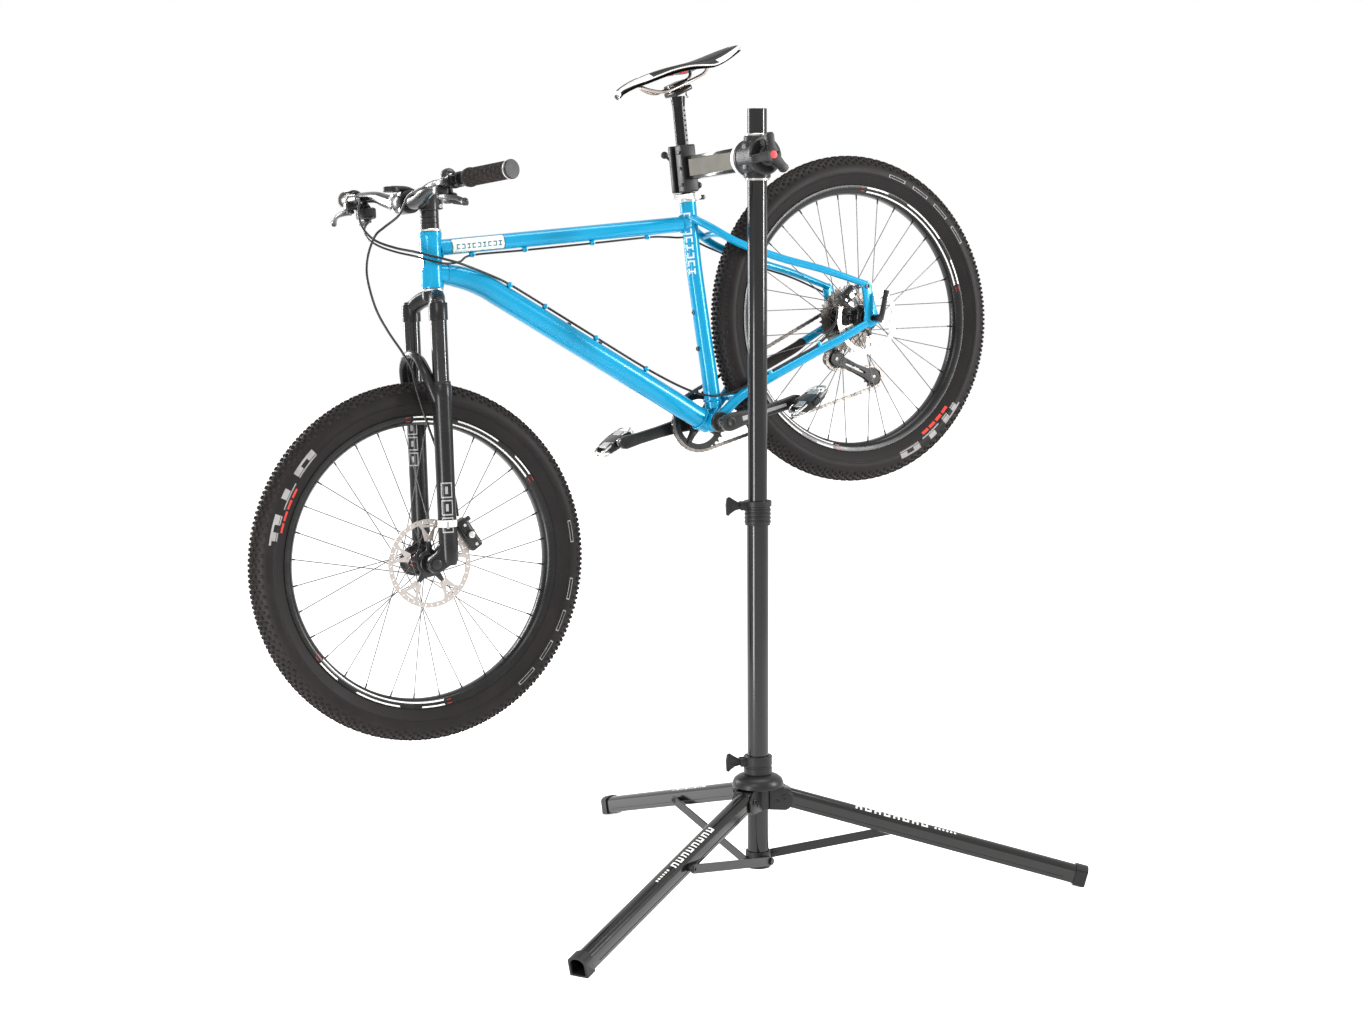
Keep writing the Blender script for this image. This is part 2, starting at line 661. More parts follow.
def clamp(arm):
    """The fixed jaw on the arm's end, the sliding jaw beyond the seatpost, and its screw's toggle."""
    turn = jaw_turn()
    grip = SEATPOST_RADIUS + GAP
    centre = BIKE_OFFSET
    groove = rod((0, centre, -0.1), (0, centre, 0.1), grip, sides=20)
    near = centre - JAW_DEPTH
    block = box((JAW_FRONT, near, -JAW_HALF_HEIGHT), (JAW_REAR, centre - 0.006, JAW_HALF_HEIGHT), 0.003)
    ear = rod((SCREW_X, near + 0.006, 0), (SCREW_X, centre - 0.006, 0), 0.010, sides=16)
    web = box((0, near + 0.008, -0.008), (SCREW_X, centre - 0.008, 0.008))
    fixed = cut(fuse(block, ear, web), groove)
    screw_hole = rod((SCREW_X, near, 0), (SCREW_X, centre + 0.1, 0), SCREW_RADIUS + RUNNING, sides=12)
    add("clamp_body", moved(cut(fixed, screw_hole), turn), "black_metal", arm)
    plate_face = centre + 0.006
    plate_low = (JAW_FRONT - 0.002, plate_face, -JAW_HALF_HEIGHT)
    plate = box(plate_low, (JAW_REAR, plate_face + 0.014, JAW_HALF_HEIGHT), 0.002)
    plate_ear = box((0, plate_face + 0.004, -0.012), (SCREW_X + 0.010, plate_face + 0.014, 0.012), 0.002)
    sliding = cut(fuse(plate, plate_ear), copied(groove), copied(screw_hole))
    add("clamp_jaw", moved(sliding, turn), "black_metal", arm, (0, centre, 0))
    back = plate_face + 0.014 + GAP
    nut = rod((SCREW_X, back, 0), (SCREW_X, back + 0.042, 0), 0.0085, sides=16)
    screw = rod((SCREW_X, near + 0.010, 0), (SCREW_X, back + 0.004, 0), SCREW_RADIUS, sides=12)
    lean = radians(TOGGLE_TURN)
    reach = Vector((cos(lean), 0, -sin(lean))) * TOGGLE_HALF
    middle = Vector((SCREW_X, back + 0.036, 0))
    bar = rod(middle - reach, middle + reach, 0.0032, sides=8)
    ends = [ball(middle - reach, TOGGLE_BALL), ball(middle + reach, TOGGLE_BALL)]
    toggle = moved(fuse(nut, screw, bar, *ends), turn)
    add("clamp_knob", toggle, "black_plastic", arm, turn @ middle)


# ---- bicycle: places ----

def at(point, y=0.0):
    """A point of the bicycle's side view, as a place at a distance from its centre plane."""
    return Vector((point[0], y, point[1]))


def steer_direction():
    return Vector((cos(radians(HEAD_ANGLE)), 0, sin(radians(HEAD_ANGLE))))


def from_front_end(point):
    """A point of the front end, as a point of the bicycle."""
    turn = Matrix.Rotation(radians(90 - HEAD_ANGLE), 4, "Y")
    return at(HEAD_LOW) + turn @ Vector(point)


def up_seatpost(distance):
    """A point on the seatpost's axis, measured up from the seat tube's top."""
    angle = radians(SEATPOST_ANGLE)
    return at(SEAT_TOP) + distance * Vector((cos(angle), 0, sin(angle)))


def bicycle_place():
    """Where the bottom bracket lies, so that the seatpost crosses the arm's axis."""
    clamp_point = up_seatpost(CLAMP_ABOVE_SEAT_TUBE)
    hang = Matrix.Rotation(radians(-BIKE_PITCH), 4, "Y") @ clamp_point
    return Vector((-hang.x, BIKE_OFFSET, -hang.z))


# ---- bicycle: frame ----

def bicycle_frame(bike):
    steer = steer_direction()
    head_low = at(HEAD_LOW)
    head_tube = rod(head_low, head_low + HEAD_LENGTH * steer, HEAD_TUBE_RADIUS, sides=24)
    top_start = head_low + 0.0795 * steer
    top_end = up_seatpost(-0.048)
    top_tube = rod(top_start, top_end, TOP_TUBE_RADIUS, sides=16)
    seat_low = [at((0.0863, 0.2501)), at((0.0619, 0.1665)), at((0.0439, 0.1030)), at((0.0200, 0.0250))]
    seat_tube = pipe([up_seatpost(0), up_seatpost(-0.130), *seat_low], SEAT_TUBE_RADIUS, 4)
    down_start = head_low + 0.026 * steer
    down_bends = [at((-0.4180, 0.5345)), at((-0.3703, 0.4945)), at((-0.3340, 0.4470))]
    down = [down_start, *down_bends, at((-0.0629, 0.0761))]
    down_tube = pipe([*down, at((-0.0060, -0.0020))], [0.0200, 0.0230, *[DOWN_TUBE_RADIUS] * 3, 0.0200], 4)
    shell = rod((0, -SHELL_HALF, 0), (0, SHELL_HALF, 0), SHELL_RADIUS, sides=24)
    tubes = [top_tube, seat_tube, down_tube, shell]
    for side in (-1, 1):
        tubes += stays(side)
        tubes.append(dropout(side))
    body = fuse(head_tube, *tubes)
    bore_low = head_low - 0.05 * steer
    bores = [
        rod(bore_low, head_low + (HEAD_LENGTH + 0.05) * steer, STEERER_RADIUS + 0.001, sides=24),
        rod(up_seatpost(-SEATPOST_INSERT - 0.008), up_seatpost(0.05), SEATPOST_RADIUS + GAP, sides=20),
        rod((0, -0.1, 0), (0, 0.1, 0), SPINDLE_RADIUS + 0.002, sides=20),
        rod(at(REAR_AXLE, -0.1), at(REAR_AXLE, 0.1), AXLE_RADIUS + GAP, sides=12),
    ]
    add("frame", cut(body, *bores), "blue_paint", bike)


def stays(side):
    """One side's chainstay and seatstay."""
    beside_tyre = TYRE_SECTION + STAY_CLEARANCE
    chain = [
        (0.0080, 0.0240, 0.0040),
        (0.0550, 0.0310, 0.0210),
        (0.0800, beside_tyre - 0.0125, 0.0280),
        (0.1060, beside_tyre, 0.0330),
        (0.1500, beside_tyre + 0.0055, 0.0355),
        (0.2900, beside_tyre + 0.0100, 0.0358),
        (0.3400, 0.0705, 0.0370),
        (0.4150, 0.0765, 0.0400),
    ]
    seat = [
        (0.1370, 0.0060, 0.4250),
        (0.1600, 0.0340, 0.3880),
        (0.2052, beside_tyre, 0.3283),
        (0.2844, beside_tyre + 0.0060, 0.2574),
        (0.3687, 0.0660, 0.1916),
        (0.4526, 0.0765, 0.1181),
    ]
    chainstay = pipe([(x, side * y, z) for x, y, z in chain], CHAINSTAY_RADIUS, 3)
    seatstay = pipe([(x, side * y, z) for x, y, z in seat], SEATSTAY_RADIUS, 2)
    return [chainstay, seatstay]


def dropout(side):
    """The upright plate that joins one side's stays and holds the axle; the right one has the hanger."""
    outline = [
        (0.4440, 0.1270),
        (0.4290, 0.1150),
        (0.4180, 0.0600),
        (0.4110, 0.0480),
        (0.4110, 0.0320),
        (0.4220, 0.0280),
        (0.4450, 0.0300),
        (0.4480, 0.0420),
        (0.4500, 0.0700),
        (0.4620, 0.1130),
        (0.4600, 0.1240),
    ]
    if side > 0:
        x, z = HANGER
        left_end = [(x - 0.0130, z + 0.0060), (x - 0.0090, z - 0.0080)]
        outline[5:7] = [*left_end, (x + 0.0080, z - 0.0080), (x + 0.0100, z + 0.0080)]
    low = REAR_HUB_HALF + GAP
    near, far = sorted((side * low, side * (low + DROPOUT_THICKNESS)))
    return prism(outline, near, far)


# ---- bicycle: wheels ----

def wheel(prefix, parent, centre, hub_half, flanges, rotor_y, rotor_radius):
    """One wheel about the Y axis through its centre: tyre, rim, laced hub and brake rotor."""
    x, z = centre
    section = RIM_OUTER + 0.0010
    middle = TYRE_RADIUS - TYRE_SECTION
    seat = RIM_WIDTH / 2 - 0.006
    bulge = [
        (middle + TYRE_SECTION * sin(angle), TYRE_SECTION * cos(angle))
        for angle in (radians(-18 + 216 * step / 8) for step in range(9))
    ]
    tyre = turned([(section, seat), *bulge, (section, -seat)], at(centre), sides=WHEEL_SIDES)
    add(f"{prefix}_tyre", tyre, "rubber", parent, at(centre))
    half = RIM_WIDTH / 2
    rim_profile = [
        (RIM_INNER, 0.010),
        (RIM_INNER + 0.010, half),
        (RIM_OUTER, half),
        (RIM_OUTER, -half),
        (RIM_INNER + 0.010, -half),
        (RIM_INNER, -0.010),
    ]
    rim = turned(rim_profile, at(centre), sides=WHEEL_SIDES)
    add(f"{prefix}_rim", rim, "black_metal", parent, at(centre))
    hub = laced_hub(centre, hub_half, flanges)
    add(f"{prefix}_hub", hub, "black_metal", parent, at(centre))
    add(f"{prefix}_rotor", rotor(centre, rotor_y, rotor_radius), "silver", parent, at(centre))


def laced_hub(centre, hub_half, flanges):
    """Hub shell, axle and crossed spokes as one piece; alternate spokes lie outside their flange."""
    left, right = flanges
    shell = [
        (0.0, -hub_half),
        (0.0105, -hub_half),
        (0.0150, left - 0.006),
        (FLANGE_RADIUS + 0.002, left - 0.0025),
        (FLANGE_RADIUS + 0.002, left + 0.0025),
        (0.0170, left + 0.008),
        (0.0170, right - 0.008),
        (FLANGE_RADIUS + 0.002, right - 0.0025),
        (FLANGE_RADIUS + 0.002, right + 0.0025),
        (0.0160, right + 0.006),
        (0.0160, hub_half - 0.012),
        (0.0105, hub_half),
        (0.0, hub_half),
    ]
    axle_end = hub_half + DROPOUT_THICKNESS + 0.001
    hub = fuse(
        turned(shell, at(centre), sides=20),
        rod(at(centre, -axle_end), at(centre, axle_end), AXLE_RADIUS, sides=12),
    )
    spokes = []
    for index in range(SPOKES):
        flange = flanges[index % 2]
        outward = 1 if flange > 0 else -1
        layer = 1 if (index // 2) % 2 else -1
        at_rim = 2 * pi * (index + 0.5) / SPOKES
        at_hub = at_rim + layer * radians(72)
        start = Vector((cos(at_hub) * (FLANGE_RADIUS - 0.001), 0, sin(at_hub) * (FLANGE_RADIUS - 0.001)))
        start.y = flange + layer * outward * 0.0018
        end = Vector((cos(at_rim), 0, sin(at_rim))) * (RIM_INNER * cos(pi / WHEEL_SIDES) - GAP)
        end.y = outward * 0.0030
        spokes.append(rod(at(centre) + start, at(centre) + end, SPOKE_RADIUS, sides=4))
    return fuse(hub, *spokes)


def rotor(centre, rotor_y, rotor_radius):
    """A brake disc with swept windows between its arms, bolted round the hub."""
    low = rotor_y - ROTOR_THICKNESS / 2
    high = rotor_y + ROTOR_THICKNESS / 2
    place = at(centre)
    disc = turned([(0.0175, low), (rotor_radius, low), (rotor_radius, high), (0.0175, high)], place, sides=36)
    inner, outer = 0.0300, rotor_radius - ROTOR_BAND
    windows = []
    for index in range(ROTOR_ARMS):
        start = 2 * pi * index / ROTOR_ARMS
        outline = []
        for radius, sweep, margin in ((inner, 0.0, 0.22), (outer, 0.35, 0.09)):
            span = 2 * pi / ROTOR_ARMS - 2 * margin
            arc = [start + sweep + margin + span * step / 3 for step in range(4)]
            points = [(place.x + radius * cos(angle), place.z + radius * sin(angle)) for angle in arc]
            outline += points if radius == inner else reversed(points)
        windows.append(prism(outline, low - 0.005, high + 0.005))
    return cut(disc, *windows)


# ---- bicycle: drive ----

def sprocket_radius(teeth):
    return LINK_PITCH / (2 * sin(pi / teeth))


def chain_clear(teeth):
    """The radius of a toothless disc that the chain clears."""
    return sprocket_radius(teeth) - CHAIN_RADIUS - 0.0008


def chain_loop():
    """The chain's centre line round chainring, sprocket, guide pulley and tension pulley."""
    circles = [
        (Vector((0, 0)), sprocket_radius(RING_TEETH), -1),
        (Vector(REAR_AXLE), sprocket_radius(SPROCKET_TEETH), -1),
        (Vector(GUIDE_PULLEY), sprocket_radius(JOCKEY_TEETH), 1),
        (Vector(TENSION_PULLEY), sprocket_radius(JOCKEY_TEETH), -1),
    ]
    links = []
    for index, (centre, radius, way) in enumerate(circles):
        other, other_radius, other_way = circles[(index + 1) % len(circles)]
        between = other - centre
        heading = atan2(between.y, between.x)
        swing = (way * radius - other_way * other_radius) / between.length
        tangent = heading + asin_of(swing)
        links.append(tangent)
    points = []
    for index, (centre, radius, way) in enumerate(circles):
        enter = links[index - 1] - way * pi / 2
        leave = links[index] - way * pi / 2
        sweep = (leave - enter) * way % (2 * pi)
        steps = max(2, round(sweep / radians(22)))
        for step in range(steps + 1):
            angle = enter + way * sweep * step / steps
            points.append((centre.x + radius * cos(angle), CHAIN_Y, centre.y + radius * sin(angle)))
    return points


def asin_of(value):
    return atan2(value, sqrt(1 - value * value))


def cranks(bike):
    ring_radius = chain_clear(RING_TEETH)
    inner = ring_radius - 0.012
    low, high = CHAIN_Y - 0.0015, CHAIN_Y + 0.0015
    band = turned([(inner, low), (ring_radius, low), (ring_radius, high), (inner, high)], sides=40)
    spider = []
    for index in range(4):
        angle = radians(45 + 90 * index + LEFT_CRANK_ANGLE)
        side = Vector((-sin(angle), cos(angle))) * 0.008
        direction = Vector((cos(angle), sin(angle)))
        start, end = direction * 0.010, direction * (inner + 0.004)
        corners = [start + side, end + side * 0.6, end - side * 0.6, start - side]
        spider.append(prism([tuple(corner) for corner in corners], low - 0.001, high + 0.004))
    boss = rod((0, low - 0.002, 0), (0, CRANK_INNER + 0.004, 0), 0.0170, sides=20)
    spindle = rod((0, -CRANK_OUTER + 0.001, 0), (0, CRANK_OUTER - 0.002, 0), SPINDLE_RADIUS, sides=20)
    right = crank_arm(LEFT_CRANK_ANGLE + 180, 1)
    add("right_crank", fuse(band, *spider, boss, spindle, right), "black_metal", bike)
    bore = rod((0, -0.2, 0), (0, 0, 0), SPINDLE_RADIUS + GAP, sides=20)
    add("left_crank", cut(crank_arm(LEFT_CRANK_ANGLE, -1), bore), "black_metal", bike)


def crank_arm(angle, side):
    """A tapered arm from the spindle to the pedal, with an eye at each end."""
    outline = []
    for centre, radius, start in ((0.0, 0.0190, 100), (CRANK_LENGTH, 0.0145, -90)):
        for step in range(7):
            turn = radians(start + 180 * step / 6)
            outline.append((centre + radius * cos(turn), radius * sin(turn)))
    low, high = sorted((side * CRANK_INNER, side * CRANK_OUTER))
    arm = moved(prism(outline, low, high), Matrix.Rotation(-radians(angle), 4, "Y"))
    end = pedal_axis(angle)
    hole = rod(at(end, side * 0.05), at(end, side * 0.12), 0.0070 + GAP, sides=12)
    return cut(arm, hole)


def pedal_axis(angle):
    return (CRANK_LENGTH * cos(radians(angle)), CRANK_LENGTH * sin(radians(angle)))


def pedals(bike):
    sides = (("left_pedal", LEFT_CRANK_ANGLE, -1), ("right_pedal", LEFT_CRANK_ANGLE + 180, 1))
    for name, angle, side in sides:
        x, z = pedal_axis(angle)
        axle = rod((x, side * (CRANK_INNER + 0.002), z), (x, side * 0.150, z), 0.0065, sides=12)
        collar_foot = (x, side * (CRANK_OUTER + GAP), z)
        collar = rod(collar_foot, (x, side * (PEDAL_REACH + 0.004), z), 0.0095, sides=12)
        outline = [
            (-0.046, -0.003),
            (-0.028, -0.011),
            (0.028, -0.011),
            (0.046, -0.003),
            (0.046, 0.003),
            (0.028, 0.011),
            (-0.028, 0.011),
            (-0.046, 0.003),
        ]
        low, high = sorted((side * PEDAL_REACH, side * (PEDAL_REACH + 0.062)))
        tilt = Matrix.Translation((x, 0, z)) @ Matrix.Rotation(radians(-12), 4, "Y")
        cage = moved(prism(outline, low, high), tilt)
        add(name, fuse(axle, collar, cage), "silver", bike, (x, side * PEDAL_REACH, z))


def cassette(bike):
    """Sprockets as one stepped cone that leaves a groove for the chain; it freewheels on the hub."""
    groove = chain_clear(SPROCKET_TEETH)
    bore = 0.0180
    side = CHAIN_RADIUS + 0.0008
    steps = [
        (0.0745, 0.0205),
        (0.0670, 0.0245),
        (0.0600, 0.0285),
        (0.0535, 0.0325),
        (0.0475, 0.0365),
        (0.0420, 0.0410),
        (0.0370, CHAIN_Y - side),
        (groove, CHAIN_Y + side),
        (0.0265, 0.0570),
        (0.0225, 0.0605),
    ]
    profile = [(bore, 0.0185), (steps[0][0], 0.0185)]
    for (radius, end), following in zip(steps, [*steps[1:], None]):
        profile.append((radius, end))
        profile.append((following[0] if following else bore, end))
    add("cassette", turned(profile, at(REAR_AXLE), sides=24), "silver", bike, at(REAR_AXLE))


def derailleur(bike):
    hanger_outer = REAR_HUB_HALF + DROPOUT_THICKNESS + 2 * GAP
    knuckle = rod(at(HANGER, hanger_outer), at(HANGER, hanger_outer + 0.016), 0.0105, sides=16)
    guide, tension = at(GUIDE_PULLEY), at(TENSION_PULLEY)
    plate_gap = CHAIN_RADIUS + 0.0008
    plate = 0.0014
    outer_face = CHAIN_Y + plate_gap + plate
    lower_knuckle = rod(
        guide + Vector((0, outer_face + GAP, 0)), guide + Vector((0, outer_face + 0.024, 0)), 0.0165, sides=20
    )
    link = pipe(
        [
            at(HANGER, hanger_outer + 0.0110),
            at((0.420, -0.006), hanger_outer + 0.0115),
            at((0.400, -0.018), hanger_outer + 0.0020),
            guide + Vector((0, 0.070, 0)),
        ],
        [0.0080, 0.0095, 0.0105, 0.0105],
        2,
    )
    add("derailleur_body", fuse(knuckle, link, lower_knuckle), "black_metal", bike, at(HANGER, hanger_outer))
    along = (tension - guide).normalized()
    side = Vector((-along.z, 0, along.x)) * 0.0120
    corners = [
        guide - along * 0.012 + side * 0.7,
        guide + side,
        tension + side,
        tension + along * 0.013 + side * 0.6,
        tension + along * 0.013 - side * 0.6,
        tension - side,
        guide - side,
        guide - along * 0.012 - side * 0.7,
    ]
    outline = [(corner.x, corner.z) for corner in corners]
    inner_plate = prism(outline, CHAIN_Y - plate_gap - plate, CHAIN_Y - plate_gap)
    outer_plate = prism(outline, CHAIN_Y + plate_gap, outer_face)
    pin = 0.0030
    bolt_half = plate_gap + 0.001
    bolts = [
        rod(
            (centre.x, CHAIN_Y - bolt_half, centre.z),
            (centre.x, CHAIN_Y + bolt_half, centre.z),
            pin,
            sides=10,
        )
        for centre in (guide, tension)
    ]
    add("derailleur_cage", fuse(inner_plate, outer_plate, *bolts), "black_metal", bike, guide)
    radius = chain_clear(JOCKEY_TEETH)
    low, high = CHAIN_Y - 0.0018, CHAIN_Y + 0.0018
    for name, centre in (("jockey_upper", guide), ("jockey_lower", tension)):
        disc = [(pin + RUNNING, low), (radius, low), (radius, high), (pin + RUNNING, high)]
        add(name, turned(disc, centre, sides=20), "black_plastic", bike, centre)


# ---- bicycle: saddle ----

def saddle(bike):
    post = rod(up_seatpost(-SEATPOST_INSERT), up_seatpost(SEATPOST_RISE - 0.016), SEATPOST_RADIUS, sides=20)
    rails = up_seatpost(SEATPOST_RISE + 0.0145)
    top = RAIL_HEIGHT - RAIL_RADIUS - 4 * GAP
    cradle = box((rails.x - 0.024, -0.026, top - 0.012), (rails.x + 0.024, 0.026, top), 0.003)
    neck_foot = up_seatpost(SEATPOST_RISE - 0.030)
    neck = rod(neck_foot, up_seatpost(SEATPOST_RISE + 0.006), SEATPOST_RADIUS, 0.0165, 20)
    add("seatpost", fuse(post, neck, cradle), "black_metal", bike, up_seatpost(0))
    loop = [
        (0.3560, 0.0405, 0.6890),
        (0.3340, 0.0350, 0.6835),
        (0.2900, 0.0220, RAIL_HEIGHT),
        (0.1950, 0.0220, RAIL_HEIGHT),
        (0.1620, 0.0170, 0.6860),
        (0.1430, 0.0110, 0.6950),
        (0.1330, 0.0050, 0.7080),
    ]
    path = loop + [(x, -y, z) for x, y, z in reversed(loop)]
    add("saddle_rails", pipe(path, RAIL_RADIUS, 2, spacing=0.02), "titanium", bike, at((0.2339, RAIL_HEIGHT)))
    sections = [
        (0.0885, 0.7225, 0.7195, 0.0090),
        (0.0990, 0.7300, 0.7265, 0.0145),
        (0.1300, 0.7350, 0.7265, 0.0190),
        (0.1600, 0.7345, 0.7235, 0.0225),
        (0.1900, 0.7330, 0.7220, 0.0280),
        (0.2200, 0.7295, 0.7205, 0.0385),
        (0.2500, 0.7250, 0.7150, 0.0560),
        (0.2750, 0.7205, 0.7060, 0.0655),
        (0.3000, 0.7175, 0.6965, 0.0685),
        (0.3250, 0.7155, 0.6955, 0.0680),
        (0.3500, 0.7140, 0.6985, 0.0640),
        (0.3750, 0.7120, 0.7030, 0.0550),
        (0.3950, 0.7095, 0.7060, 0.0400),
    ]
    shape = bmesh.new()
    loops = []
    for x, crown, edge, half in sections:
        corners = []
        for step in range(16):
            across, up = cos(2 * pi * step / 16), sin(2 * pi * step / 16)
            height = edge + (crown - edge) * (1 - abs(across) ** 2.2) - SADDLE_DEPTH * max(0.0, -up)
            corners.append(shape.verts.new((x, half * across, height)))
        loops.append([shape.edges.new((corners[i - 1], corners[i])) for i in range(16)])
    for one, two in zip(loops, loops[1:]):
        bmesh.ops.bridge_loops(shape, edges=one + two)
    bmesh.ops.holes_fill(shape, edges=loops[0] + loops[-1])
    add("saddle", to_mesh(shape), "saddle_cover", bike, at((0.2339, 0.7000)))


# ---- bicycle: front end ----

def fork(steering):
    crown_x = -LEG_SETBACK
    steerer = rod((0, 0, -0.020), (0, 0, STEM_HIGH - 0.002), STEERER_RADIUS, sides=20)
    race = rod((0, 0, -0.026), (0, 0, -GAP * 2), 0.0215, sides=20)
    upper = [race]
    for side in (-1, 1):
        arm = pipe(
            [(0, 0, -0.018), (-0.006, side * 0.030, -0.024), (crown_x, side * LEG_SPACING, -0.046)],
            [0.0130, 0.0150, 0.0130],
            3,
        )
        y = side * LEG_SPACING
        sleeve = rod((crown_x, y, CROWN_LOW), (crown_x, y, CROWN_TOP), 0.0192, sides=20)
        stanchion = rod(
            (crown_x, y, -0.400), (crown_x, y, CROWN_TOP - 0.004), STANCHION_RADIUS, sides=20
        )
        upper += [arm, sleeve, stanchion]
    add("fork_upper", fuse(steerer, *upper), "black_paint", steering)
    lower = []
    bores = []
    for side in (-1, 1):
        y = side * LEG_SPACING
        leg = rod((crown_x, y, LOWER_END), (crown_x, y, LOWER_TOP), LOWER_RADIUS, sides=20)
        near, far = sorted((side * (FRONT_HUB_HALF + GAP), side * (LEG_SPACING + 0.012)))
        outline = [
            (crown_x + 0.016, LOWER_END + 0.030),
            (crown_x + 0.016, LOWER_END - 0.004),
            (-FORK_OFFSET + 0.004, -FORK_LENGTH - 0.015),
            (-FORK_OFFSET - 0.010, -FORK_LENGTH - 0.011),
            (-FORK_OFFSET - 0.015, -FORK_LENGTH),
            (-FORK_OFFSET - 0.010, -FORK_LENGTH + 0.011),
            (crown_x - 0.016, LOWER_END + 0.050),
        ]
        lower += [leg, prism(outline, near, far)]
        bores.append(rod((crown_x, y, -0.510), (crown_x, y, 0), STANCHION_RADIUS + GAP, sides=20))
    arch = [
        (crown_x - 0.012, -LEG_SPACING + 0.002, LOWER_TOP - 0.030),
        (-0.0480, -0.0560, -0.1700),
        (-0.0530, -0.0300, -0.1380),
        (-0.0540, 0.0000, -0.1300),
    ]
    arch += [(x, -y, z) for x, y, z in reversed(arch[:-1])]
    arch_mesh = pipe(arch, [0.0110, 0.0100, 0.0095, 0.0095, 0.0095, 0.0100, 0.0110], 3, spacing=0.02)
    x, z = -FORK_OFFSET, -FORK_LENGTH
    axle = rod((x, -0.1, z), (x, 0.1, z), AXLE_RADIUS + GAP, sides=12)
    body = cut(fuse(lower[0], *lower[1:], arch_mesh), *bores, axle)
    add("fork_lower", body, "black_paint", steering)


def caliper(name, parent, axle, rotor_y, rotor_radius, turn, low, high):
    """A brake caliper over a rotor's edge: low and high are its box, with Z out from the axle at the turn."""
    body = box((low[0], rotor_y - 0.018, low[1]), (high[0], rotor_y + 0.016, high[1]), 0.004)
    x, z = (low[0] + high[0]) / 2, (low[1] + high[1]) / 2
    pistons = rod((x, rotor_y - 0.0235, z), (x, rotor_y + 0.0195, z), 0.0100, sides=16)
    place = Matrix.Translation(at(axle)) @ Matrix.Rotation(turn, 4, "Y")
    solid = moved(fuse(body, pistons), place)
    half = ROTOR_THICKNESS / 2 + 0.0008
    slot = rod(at(axle, rotor_y - half), at(axle, rotor_y + half), rotor_radius + 0.0015, sides=40)
    add(name, cut(solid, slot), "black_metal", parent, at(axle))


def bar_route():
    """The handlebar's left half from the stem outward, as points of the front end."""
    x, z = BAR_CENTRE
    return [
        (x, 0.0, z),
        (x, -0.0450, z),
        (x - 0.0020, -0.0950, z + 0.0100),
        (x - 0.0030, -0.1400, z + 0.0200),
        (x - 0.0005, -0.2000, z + 0.0245),
        (x + 0.0069, -0.2850, z + 0.0275),
        (x + 0.0370, -BAR_HALF, z + 0.0335),
    ]


def bar_point(distance_from_end):
    """A point on the handlebar's straight left end, and the direction outward along it."""
    start, end = Vector(bar_route()[-2]), Vector(bar_route()[-1])
    outward = (end - start).normalized()
    return end - outward * distance_from_end, outward


def cockpit(steering):
    x, z = BAR_CENTRE
    steer_clamp = rod((0, 0, STEM_LOW), (0, 0, STEM_HIGH), 0.0200, sides=20)
    bar_clamp = rod((x, -0.0240, z), (x, 0.0240, z), 0.0225, sides=20)
    extension = pipe([(0, 0, (STEM_LOW + STEM_HIGH) / 2), (x, 0, z)], [0.0170, 0.0160], 3)
    bolt_block = box((0.012, -0.009, STEM_LOW + 0.004), (0.027, 0.009, STEM_HIGH - 0.006), 0.002)
    stem = cut(
        fuse(steer_clamp, bar_clamp, extension, bolt_block),
        rod((0, 0, 0.1), (0, 0, 0.3), STEERER_RADIUS + GAP, sides=20),
        rod((x, -0.1, z), (x, 0.1, z), BAR_CLAMP_RADIUS + GAP, sides=20),
    )
    add("stem", stem, "black_metal", steering)
    left = bar_route()
    route = [(a, -b, c) for a, b, c in reversed(left)] + left[1:]
    middle = [0.0135, BAR_CLAMP_RADIUS, BAR_CLAMP_RADIUS, BAR_CLAMP_RADIUS, 0.0135]
    radii = [BAR_RADIUS] * 4 + middle + [BAR_RADIUS] * 4
    add("handlebar", pipe(route, radii, 4, spacing=0.0), "black_metal", steering)
    end, outward = bar_point(0)
    covered = GRIP_LENGTH - 0.006
    bore = BAR_RADIUS + GAP
    profile = [
        (bore, 0),
        (GRIP_RADIUS + 0.0030, 0),
        (GRIP_RADIUS + 0.0030, 0.006),
        (GRIP_RADIUS, 0.007),
        (GRIP_RADIUS, covered - 0.008),
        (GRIP_RADIUS + 0.0015, covered - 0.007),
        (GRIP_RADIUS + 0.0015, covered + 0.004),
        (GRIP_RADIUS - 0.0010, covered + 0.006),
        (0, covered + 0.006),
        (0, covered + GAP),
        (bore, covered + GAP),
    ]
    place = Matrix.Translation(end - outward * covered) @ outward.to_track_quat("Z", "Y").to_matrix().to_4x4()
    grip = moved(turned(profile, axis="Z", sides=20), place)
    add("right_grip", mirrored(grip), "grip_rubber", steering)
    add("left_grip", grip, "grip_rubber", steering)
    controls(steering)


